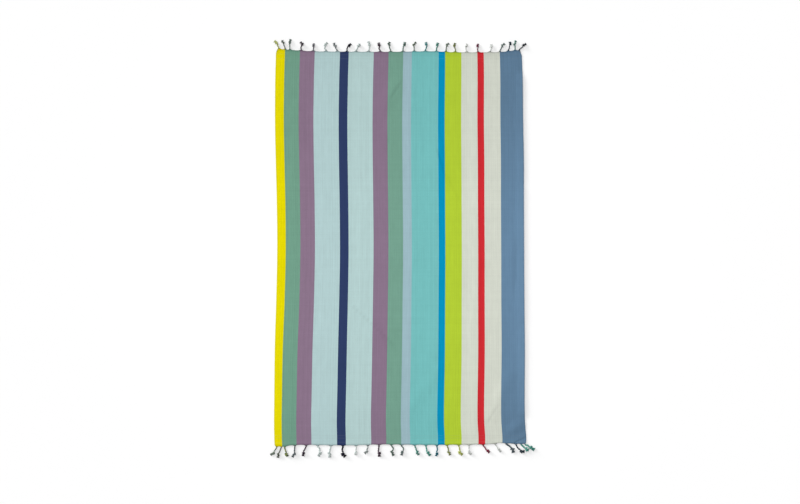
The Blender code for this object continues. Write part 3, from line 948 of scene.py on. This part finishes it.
def yarns(name, lines, thickness, taper=None, sides=0, colour=(1, 1, 1), ply=0.0):
    """A mesh object of round yarns that follow these lines, in millimetres. More sides make rounder yarns."""
    data = bpy.data.curves.new(name, "CURVE")
    data.dimensions = "3D"
    data.bevel_depth = thickness / 2
    data.bevel_resolution = sides
    data.use_fill_caps = True
    for line in lines:
        spline = data.splines.new("POLY")
        spline.points.add(len(line) - 1)
        spline.points.foreach_set("co", np.column_stack([line, np.ones(len(line))]).ravel())
        if taper is not None:
            spline.points.foreach_set("radius", np.interp(np.linspace(0, 1, len(line)), *taper))
    select_only(put_in_scene(name, data))
    bpy.ops.object.convert(target="MESH")
    bpy.ops.object.mode_set(mode="EDIT")
    bpy.ops.mesh.select_all(action="SELECT")
    bpy.ops.mesh.remove_doubles(threshold=WELD_DISTANCE)
    bpy.ops.object.mode_set(mode="OBJECT")
    piece = bpy.context.object
    mesh = piece.data
    length = np.mean([np.linalg.norm(np.diff(line, axis=0), axis=1).sum() for line in lines])
    uv_layer = mesh.uv_layers[0]
    uv_layer.name = "yarn"
    values = np.zeros(len(mesh.loops) * 2)
    uv_layer.data.foreach_get("uv", values)
    values = values.reshape(-1, 2) * (length, 1.0)
    uv_layer.data.foreach_set("uv", values.ravel())
    paint = mesh.attributes.new("yarn_colour", "FLOAT_COLOR", "POINT")
    paint.data.foreach_set("color", np.tile([*colour, 1.0], len(mesh.vertices)))
    which = mesh.attributes.new("ply", "FLOAT", "POINT")
    which.data.foreach_set("value", np.full(len(mesh.vertices), ply))
    return piece


def joined(name, pieces):
    """One object from several."""
    select_only(*pieces)
    bpy.ops.object.join()
    whole = bpy.context.object
    whole.name = whole.data.name = name
    return whole


# %% [markdown]
# Past the knot the yarns come undone into a tuft, cut off square and lying flat on the floor. Each yarn
# starts within the neck of the knot and ends at its own place in a low oval, with a slight wave on the way.

# %% Fray a tuft
CORD_START = -3.6
CORD_LENGTH = 24.0
KNOT_HALF = 5.2
TUFT_END = 14.0
TUFT_YARNS = 22
NECK_RADIUS = 1.3
TUFT_HALF_WIDTH = 4.6
TUFT_HEIGHT = 4.2
TUFT_TURN = 2.4
TUFT_POINTS = 8
TUFT_DOME = 1.6
LOWEST_YARN = 0.6
SIDE_SCATTER = 0.7
CUT_SCATTER = (-1.2, 1.0)
HEIGHT_SCATTER = 0.2
WAVE_REACH = 0.5
WAVE_COUNT = (1.2, 2.2)


def tuft_lines(neck, chance):
    """The lines of a tuft's yarns, from the neck of the knot to their cut ends."""
    lines = []
    share = np.linspace(0, 1, TUFT_POINTS)[:, None]
    for k in range(TUFT_YARNS):
        turn = TUFT_TURN * k
        ring = math.sqrt((k + 0.5) / TUFT_YARNS)
        start = neck + NECK_RADIUS * ring * np.array([math.cos(turn), 0.0, math.sin(turn)])
        round_out = 0.5 + 0.5 * ring * math.sin(turn)
        end = np.array([
            TUFT_HALF_WIDTH * ring * math.cos(turn) + chance.uniform(-SIDE_SCATTER, SIDE_SCATTER),
            CORD_LENGTH + TUFT_END + TUFT_DOME - TUFT_DOME * ring**2 + chance.uniform(*CUT_SCATTER),
            LOWEST_YARN + (TUFT_HEIGHT - 2 * LOWEST_YARN) * round_out
            + chance.uniform(-HEIGHT_SCATTER, HEIGHT_SCATTER),
        ])
        reach = chance.uniform(-WAVE_REACH, WAVE_REACH)
        wave = reach * np.sin(math.pi * share * chance.uniform(*WAVE_COUNT))
        spread = np.concatenate([share**0.8, share, share**1.2], axis=1)
        lines.append(start + (end - start) * spread + wave * np.array([1.0, 0.0, 0.25]))
    return lines


print("yarns in a tuft:", TUFT_YARNS)

# %% [markdown]
# One cord is now put together, lying straight along Y with its knot at a set distance. Four such cords with
# the knot turned over or the tuft frayed differently are enough, because each copy is bent on its own.

# %% Put one cord together
# Columns: phase of the twist, roll of the knot in degrees, seed of the tuft.
VARIANTS = ((0.0, 0, 11), (1.9, 105, 23), (3.6, 190, 37), (5.1, 280, 53))
TUFT_YARN_THICKNESS = 1.15
REST_HEIGHT = 2.2
KNOT_REST_HEIGHT = 4.2
KNOT_FLATTENING = 0.8
LEAD_BLEND = 7.0
ROOT_TAPER = 4.5
NECK_DEPTH = 1.6
TIGHTER_IN_KNOT = 0.22
TIGHTER_AT_ROOT = 0.3
KNOT_TIGHTENING = 3.0
END_OF_PLIES = 0.6


def cord_line(roll):
    """The middle line of a cord along Y, from its root through its knot, lying on the floor."""
    turn = math.radians(roll)
    onto_axis = 1 - ease((np.abs(knot_line[:, 0]) - KNOT_HALF) / LEAD_BLEND)
    sideways = (knot_line[:, 1] * math.cos(turn) - knot_line[:, 2] * math.sin(turn)) * onto_axis
    up = (knot_line[:, 1] * math.sin(turn) + knot_line[:, 2] * math.cos(turn)) * onto_axis
    rest = REST_HEIGHT + (KNOT_REST_HEIGHT - REST_HEIGHT) * onto_axis
    knot = np.column_stack([sideways, CORD_LENGTH + knot_line[:, 0], rest + KNOT_FLATTENING * up])
    run = np.arange(CORD_START, knot[0, 1], BEAD_STEP)
    lead = np.column_stack([np.zeros_like(run), run, np.full_like(run, REST_HEIGHT)])
    within = (knot[:, 1] > CORD_START) & (knot[:, 1] < CORD_LENGTH + KNOT_HALF + END_OF_PLIES)
    line = np.concatenate([lead, knot[within]])
    for _ in range(2):
        line[1:-1] = (line[:-2] + 2 * line[1:-1] + line[2:]) / 4
    return line


def straight_cord(number, phase, roll, seed):
    """A whole cord along Y: two twisted plies, a knot and a tuft."""
    line = cord_line(roll)
    in_knot = ease((line[:, 1] - (CORD_LENGTH - KNOT_HALF - KNOT_TIGHTENING)) / KNOT_TIGHTENING)
    at_root = 1 - ease((line[:, 1] - CORD_START) / ROOT_TAPER)
    offset = PLY_OFFSET * (1 - TIGHTER_IN_KNOT * in_knot - TIGHTER_AT_ROOT * at_root)
    tapered = ROOT_TAPER / np.linalg.norm(np.diff(line, axis=0), axis=1).sum()
    ply_taper = ([0.0, tapered, 1.0], [0.5, 1.0, 1.0])
    tuft_taper = ([0.0, 0.15, 1.0], [0.75, 0.95, 1.0])
    plies = [
        yarns(f"ply_{number}_{k}", [ply_line(line, phase + math.pi * k, offset)], PLY_THICKNESS,
              ply_taper, sides=2, ply=k)
        for k in range(2)
    ]
    lines = tuft_lines(line[-1] - (0.0, NECK_DEPTH, 0.0), random.Random(seed))
    tufts = [
        yarns(f"tuft_{number}_{k}", lines[k::2], TUFT_YARN_THICKNESS, tuft_taper, ply=k)
        for k in range(2)
    ]
    return joined(f"cord_{number}", plies + tufts)


cord_patterns = [straight_cord(number, *variant) for number, variant in enumerate(VARIANTS)]
print("cord:", triangles(cord_patterns[0]), "triangles")

# %% [markdown]
# A copy of the straight cord is bent along its own path on the floor. Its stretch between root and knot is
# drawn out or pushed together to the length it has there, the knot keeps its size, and the tuft is fitted
# to the tip.

# %% Bend a cord along its path
AHEAD_REACH = 0.6
SHORTEST_TUFT = 2.5


def cord_path(cord, outward):
    """Distances and places of a cord's middle line: root, gather, middle, knot and tip."""
    across_root, knot_side, knot_out, tip_side, tip_out, bow = cord[:6]
    table = HEAD_EDGE if outward > 0 else FOOT_EDGE
    y = outward * (CLOTH_LENGTH / 2 + float(read_table(table, 1, across_root)))
    root = np.array([float(floor_x(across_root, y)), y])
    knot = root + (knot_side, outward * knot_out)
    tip = knot + np.array([tip_side, outward * tip_out])
    gather = root + (GATHER_LEAN_SHARE * knot_side, outward * GATHER_OUT)
    middle = (root + knot) / 2 + (bow, 0)
    points = np.array([root, gather, middle, knot, tip])
    distances = np.concatenate([[0.0], np.cumsum(np.linalg.norm(np.diff(points, axis=0), axis=1))])
    return distances, points


def on_path(distances, points, at):
    return np.stack([curve_through(distances, points[:, k], at) for k in range(2)], axis=-1)


def bend(places, cord, outward):
    """Places of the straight cord, moved to where this cord lies and laid level on the floor."""
    distances, points = cord_path(cord, outward)
    gather, knot, tip = distances[1], distances[3], distances[4]
    straight = (0.0, CORD_LENGTH - KNOT_HALF, CORD_LENGTH + KNOT_HALF, CORD_LENGTH + TUFT_END)
    bent = (gather, knot - KNOT_HALF, knot + KNOT_HALF, max(tip, knot + KNOT_HALF + SHORTEST_TUFT))
    at = np.interp(places[:, 1], straight, bent)
    at = at + np.minimum(places[:, 1], 0.0)
    ahead = on_path(distances, points, at + AHEAD_REACH) - on_path(distances, points, at - AHEAD_REACH)
    ahead /= np.maximum(np.linalg.norm(ahead, axis=1, keepdims=True), TINY)
    past = np.maximum(at - distances[-1], 0.0)
    centre = on_path(distances, points, at) + ahead * past[:, None]
    side = np.stack([ahead[:, 1], -ahead[:, 0]], axis=1)
    stoutness = cord[6]
    return np.column_stack([centre + side * places[:, :1] * stoutness, np.maximum(places[:, 2], 0.0)])


def place_cord(name, cord, outward, pattern):
    """A copy of a straight cord, bent into place and given the colours of its two yarns, which carry painted
    shade.
    """
    piece = put_in_scene(name, pattern.data.copy())
    mesh = piece.data
    write_places(mesh, in_metres(bend(read_places(pattern.data), cord, outward)))
    ply = np.zeros(len(mesh.vertices))
    mesh.attributes["ply"].data.foreach_get("value", ply)
    shaded_yarn_colours = np.array([linear(YARN_COLOURS_WITH_PAINTED_SHADE[yarn]) for yarn in cord[7:]])
    mesh.attributes["yarn_colour"].data.foreach_set("color", shaded_yarn_colours[np.rint(ply).astype(int)].ravel())
    return piece


print("longest way from root to tip:", round(max(cord_path(cord, -1)[0][-1] for cord in FOOT_CORDS), 1), "mm")

# %% [markdown]
# Between the cloth and a cord lies the fan: the warp yarns of a hand's width or less that were gathered
# into it. Those from the sides run almost along the edge before they turn out, which is the dark line that
# shows between two cords. Each has the colour of the stripe that it comes from, painted far darker as
# painted shade between the gathered yarns.

# %% Gather the yarns of each cord
FAN_STEP = 1.6
FAN_YARN_THICKNESS = 0.95
FAN_POINTS = 9
FAN_PAINTED_SHADE = 0.36
UNDER_WEFT = 1.2
INTO_CORD = 1.0
END_SIDE_SCATTER = 1.0
END_HEIGHT_SCATTER = 0.9
HUG_WIDTH = 6.0
HUG_MOST = 3.2
EDGE_OVERLAP = 0.2
FAN_RISE = 1.5
FAN_SAG = (-0.15, 0.3)


def fan_limits(cords, index):
    """From where to where across the cloth a cord takes its yarns: half-way to its neighbours."""
    roots = [cord[0] for cord in cords]
    left = (roots[index - 1] + roots[index]) / 2 if index > 0 else 1.0
    right = (roots[index] + roots[index + 1]) / 2 if index + 1 < len(roots) else CLOTH_WIDTH - 1.0
    return left, right


def fan_line(start_across, cord, outward, chance):
    """One warp yarn, from under the last weft to the start of its cord."""
    along_start = UNDER_WEFT if outward > 0 else CLOTH_LENGTH - UNDER_WEFT
    start = cloth_place(np.array([start_across]), np.array([along_start]))[0]
    start[2] += CLOTH_THICKNESS / 2
    distances, points = cord_path(cord, outward)
    end = on_path(distances, points, np.array([distances[1] + INTO_CORD]))[0]
    side_scatter = chance.uniform(-END_SIDE_SCATTER, END_SIDE_SCATTER)
    height_scatter = chance.uniform(-END_HEIGHT_SCATTER, END_HEIGHT_SCATTER)
    end = np.array([*end, REST_HEIGHT]) + [side_scatter, 0, height_scatter]
    share = np.linspace(0, 1, FAN_POINTS)
    hug = 1.0 + min(abs(start_across - cord[0]) / HUG_WIDTH, HUG_MOST)
    sideways = start[0] + (end[0] - start[0]) * share
    edge_along = 0.0 if outward > 0 else CLOTH_LENGTH
    across_line = start_across + (cord[0] - start_across) * share
    edge = cloth_place(across_line, np.full(FAN_POINTS, edge_along))[:, 1] - outward * EDGE_OVERLAP
    outward_line = edge + (end[1] - edge[-1]) * share**hug
    outward_line[0] = start[1]
    sag = chance.uniform(*FAN_SAG) * np.sin(math.pi * share)
    height = start[2] + (end[2] - start[2]) * share**FAN_RISE + sag
    return np.column_stack([sideways, outward_line, height])


def stripe_at(start_across, outward):
    """Which stripe a yarn of the head or foot edge belongs to."""
    along_end = 0.0 if outward > 0 else CLOTH_LENGTH
    on_loom = warp_place(np.array([start_across]), np.array([along_end]))[0]
    return int(np.clip(np.searchsorted(stripe_starts, on_loom, side="right") - 1, 0, len(STRIPES) - 1))


def gather_fans(name, cords, outward, seed):
    """All gathered yarns of one end, one object for each stripe colour."""
    chance = random.Random(seed)
    by_stripe = {}
    for index, cord in enumerate(cords):
        left, right = fan_limits(cords, index)
        for start_across in np.arange(left + FAN_STEP / 2, right, FAN_STEP):
            line = fan_line(start_across, cord, outward, chance)
            by_stripe.setdefault(stripe_at(start_across, outward), []).append(line)
    pieces = []
    for stripe, lines in sorted(by_stripe.items()):
        # Painted shade: each fan yarn is painted far darker than its stripe.
        colour = [c * FAN_PAINTED_SHADE for c in linear(STRIPES[stripe][2])[:3]]
        pieces.append(yarns(f"{name}_{stripe}", lines, FAN_YARN_THICKNESS, colour=colour))
    for piece in pieces:
        write_places(piece.data, in_metres(read_places(piece.data)))
    return pieces


print("the first cord gathers the yarns between", fan_limits(HEAD_CORDS, 0), "mm across")

# %% Build both fringes
HEAD_SEED = 5
FOOT_SEED = 6


def pattern_for(index):
    """A straight cord for this place in the row, so that neighbours differ."""
    return cord_patterns[(index * 3 + index // 5) % len(cord_patterns)]


def build_fringe(name, cords, outward, seed):
    fans = gather_fans(name + "_fan", cords, outward, seed)
    bent = [place_cord(f"{name}_{k}", cord, outward, pattern_for(k)) for k, cord in enumerate(cords)]
    fringe = joined(name, bent + fans)
    bpy.ops.object.shade_smooth()
    return fringe


head_fringe = build_fringe("head_fringe_yarns", HEAD_CORDS, 1, HEAD_SEED)
foot_fringe = build_fringe("foot_fringe_yarns", FOOT_CORDS, -1, FOOT_SEED)
for pattern in cord_patterns:
    bpy.data.objects.remove(pattern)
for fringe in (head_fringe, foot_fringe):
    print(fringe.name, triangles(fringe), "triangles")

# %% [markdown]
# A twisted yarn shows the slant of its fibres, light on the crests and dark in the grooves, and that light
# and dark is painted into its colour as painted shade. The slant is drawn in the yarn's own UV map, as a wave
# that climbs round it once every few millimetres.

# %% Spin the yarn
FIBRE_PITCH = 3.2
FIBRE_STRANDS = 3.0
FUZZ_ALONG = 1.3
FUZZ_ROUND = 6.0
FUZZ_DETAIL = 3.0
# Columns: darkest and lightest tone.
TWIST_PAINTED_SHADES = (0.72, 1.06)
FUZZ_SHADES = (0.85, 1.15)
twist, w, takes, gives = node_group(
    "yarn_twist",
    (("Place", "NodeSocketVector"), ("Pitch", "NodeSocketFloat"), ("Strands", "NodeSocketFloat")),
    (("Height", "NodeSocketFloat"), ("Tone", "NodeSocketFloat")),
)
place = w.put("ShaderNodeSeparateXYZ")
w.feed(place.inputs[0], takes["Place"])
climb = w.math("ADD", w.math("DIVIDE", place.outputs["X"], takes["Pitch"]),
               w.math("MULTIPLY", place.outputs["Y"], takes["Strands"]))
crest = w.math("ABSOLUTE", w.math("SINE", w.math("MULTIPLY", climb, math.pi)))
w.feed(gives["Height"], crest)
fuzz_place = w.vector(
    w.math("MULTIPLY", place.outputs["X"], FUZZ_ALONG), w.math("MULTIPLY", place.outputs["Y"], FUZZ_ROUND)
)
fuzz = w.remap(w.noise(fuzz_place, 1.0, FUZZ_DETAIL), *NOISE_RANGE, *FUZZ_SHADES)
# Painted shade: the grooves of the twist are painted darker than the crests.
w.feed(gives["Tone"], w.math("MULTIPLY", w.remap(crest, 0, 1, *TWIST_PAINTED_SHADES), fuzz))
print("node group:", twist.name, "with", len(twist.nodes), "nodes")

# %% Dye the fringe
fringe_material, m, cotton = new_material("fringe_cotton")
twist_node = m.put("ShaderNodeGroup", node_tree=twist)
m.feed(twist_node.inputs["Place"], m.put("ShaderNodeUVMap", uv_map="yarn").outputs["UV"])
twist_node.inputs["Pitch"].default_value = FIBRE_PITCH
twist_node.inputs["Strands"].default_value = FIBRE_STRANDS
# The yarn colours carry painted shade.
yarn_dye_and_shade = m.put("ShaderNodeAttribute", attribute_name="yarn_colour").outputs["Color"]
tone = twist_node.outputs["Tone"]
m.feed(cotton.inputs["Base Color"], m.mix("MULTIPLY", 1.0, yarn_dye_and_shade, m.vector(tone, tone, tone)))
cotton_surface(
    m, cotton, twist_node.outputs["Height"], groove=0.95, crest=0.82, specular=0.08, sheen=0.02,
    bump_strength=0.8, bump_depth=0.25,
)
for fringe in (head_fringe, foot_fringe):
    dress(fringe, fringe_material)
print("material:", fringe_material.name)

# %% [markdown]
# The three pieces now take the places of the three solids: each hangs from the root body, and the solid it
# stands for is hidden.

# %% Put the pieces in the solids' places
for piece, node, slot in (
    (cloth, "cloth", "striped_cotton"),
    (head_fringe, "fringe_head", "fringe_cotton"),
    (foot_fringe, "fringe_foot", "fringe_cotton"),
):
    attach(piece, "root")
    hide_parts(node)
print("a sheet of", CLOTH_WIDTH, "by", CLOTH_LENGTH, "mm, laid flat")

# %% [markdown]
# The towel lies on a plain white floor, a hair below its lowest yarn. The light is that of a
# photographer's table: an even glow from all round, a broad light from high up, a lamp above the middle, and
# a low soft light from the upper left, which draws the folds and lays a soft shadow along the right and lower
# sides.

# %% Lay the floor
FLOOR_SIZE = 120.0
FLOOR_DROP = 0.0003
SPECKLE_SCALE = 180.0
SPECKLE_DETAIL = 4.0
FLOOR_SHADES = (0.876, 0.882)
bpy.ops.object.select_all(action="DESELECT")
bpy.ops.mesh.primitive_plane_add(size=FLOOR_SIZE, location=(0, 0, 0))
floor = bpy.context.object
floor.name = "pale_floor"
write_places(floor.data, read_places(floor.data) + (0, 0, -FLOOR_DROP))
floor_material, m, paint = new_material("pale_floor")
speckle = m.noise(m.put("ShaderNodeTexCoord").outputs["Object"], SPECKLE_SCALE, SPECKLE_DETAIL)
shade = m.remap(speckle, 0.3, 0.7, *FLOOR_SHADES)
m.feed(paint.inputs["Base Color"], m.vector(shade, shade, shade))
paint.inputs["Roughness"].default_value = 0.9
paint.inputs["Specular IOR Level"].default_value = 0.1
dress(floor, floor_material)
floor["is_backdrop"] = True
print("floor:", floor.name)

# %% Light it
SKY_STRENGTH = 0.45
# Columns: name, azimuth, elevation and softness in degrees, strength.
SUNS = (("overhead", 120, 68, 60, 1.66), ("low_left", 142, 13, 17, 2.75))
GLOW_POWER = 40.0
GLOW_SPREAD = 27
GLOW_SIZE = 0.6
GLOW_HEIGHT = 4.4
world = bpy.data.worlds.new("studio")
world.use_nodes = True
world.node_tree.nodes["Background"].inputs["Color"].default_value = (1.0, 1.0, 1.0, 1.0)
world.node_tree.nodes["Background"].inputs["Strength"].default_value = SKY_STRENGTH
bpy.context.scene.world = world


def sun(name, azimuth, elevation, softness, strength):
    """A soft light from far away. Azimuth is the side it comes from, in degrees round from +X."""
    data = bpy.data.lights.new(name, "SUN")
    data.energy = strength
    data.angle = math.radians(softness)
    light = put_in_scene(name, data)
    light.rotation_euler = (math.radians(90 - elevation), 0, math.radians(azimuth + 90))


for row_of_sun in SUNS:
    sun(*row_of_sun)
glow = bpy.data.lights.new("middle_glow", "SPOT")
glow.energy = GLOW_POWER
glow.spot_size = math.radians(GLOW_SPREAD)
glow.spot_blend = 1.0
glow.shadow_soft_size = GLOW_SIZE
put_in_scene("middle_glow", glow).location = (0, 0, GLOW_HEIGHT)

# %% [markdown]
# The camera looks straight down from well above, so that the towel keeps its proportions to the edge of the
# picture. How much of the floor it sees across follows from its height and its lens.

# %% Set the camera
PICTURE_WIDTH = 3.24
PICTURE_CENTRE = (0.0, -17.2)
SENSOR = 36.0
LENS = 50.0
camera_data = bpy.data.cameras.new("camera")
camera_data.sensor_width = SENSOR
camera_data.lens = LENS
camera = put_in_scene("camera", camera_data)
centre = in_metres([*PICTURE_CENTRE, 0.0])
camera.location = (centre[0], centre[1], PICTURE_WIDTH * LENS / SENSOR)
bpy.context.scene.camera = camera
bpy.context.scene.view_settings.view_transform = "Standard"
print("camera height:", round(camera.location.z, 3), "m")

# %% Print the sizes of the solids and of the pieces
boxes = {"solids": SOLID_BOX, "looks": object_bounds()}
for name, box in boxes.items():
    print(name, [tuple(round(c, 4) for c in corner) for corner in box])
